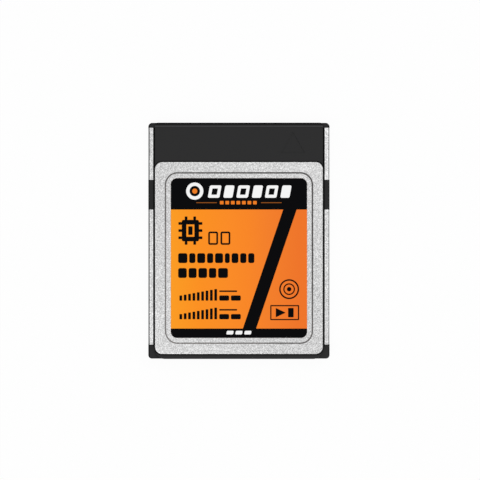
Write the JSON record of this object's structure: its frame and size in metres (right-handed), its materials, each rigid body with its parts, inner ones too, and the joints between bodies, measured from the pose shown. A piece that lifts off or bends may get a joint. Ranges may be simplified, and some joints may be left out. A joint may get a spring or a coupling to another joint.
{
  "type": "memory card",
  "caption": "Flat rectangular memory card: black moulded frame with side rails, metal covers, a sunk colour label on top and a contact slot in one end.",
  "frame": {"origin": "middle of the flat metal back, on the surface that the card lies on", "axes": "+Y towards the end with the contact slot, +Z out through the label, X across the card"},
  "size_m": [0.0296, 0.0384, 0.0038],
  "materials": {
    "black_plastic": "fine-grained black moulding",
    "cover_metal": "finely pebbled bare metal sheet",
    "label_print": "glossy printed label, orange field with black bands",
    "board": "green solder mask",
    "package_resin": "black moulding resin",
    "ferrite": "dark grey moulded ferrite",
    "crystal_metal": "plated lid",
    "capacitor_ceramic": "tan ceramic with tinned ends",
    "housing_plastic": "black heat-proof moulding",
    "contact_gold": "gold-plated spring metal",
    "contact_tin": "tinned strap",
    "pad_rubber": "soft grey heat-conducting pad"
  },
  "bodies": {
    "root": {"frame": "black_plastic", "top_cover": "cover_metal", "bottom_cover": "cover_metal", "label": "label_print", "circuit_board": "board", "memory_package_1": "package_resin", "memory_package_2": "package_resin", "memory_package_3": "package_resin", "memory_package_4": "package_resin", "controller_chip": "package_resin", "buffer_chip": "package_resin", "power_chip": "package_resin", "power_inductors": "ferrite", "crystal": "crystal_metal", "bulk_capacitors": "capacitor_ceramic", "capacitors": "capacitor_ceramic", "resistors": "package_resin", "connector_housing": "housing_plastic", "signal_contacts": "contact_gold", "ground_contacts": "contact_gold", "connector_anchors": "contact_tin", "thermal_pad_top": "pad_rubber", "thermal_pad_bottom": "pad_rubber"}
  },
  "joints": []
}
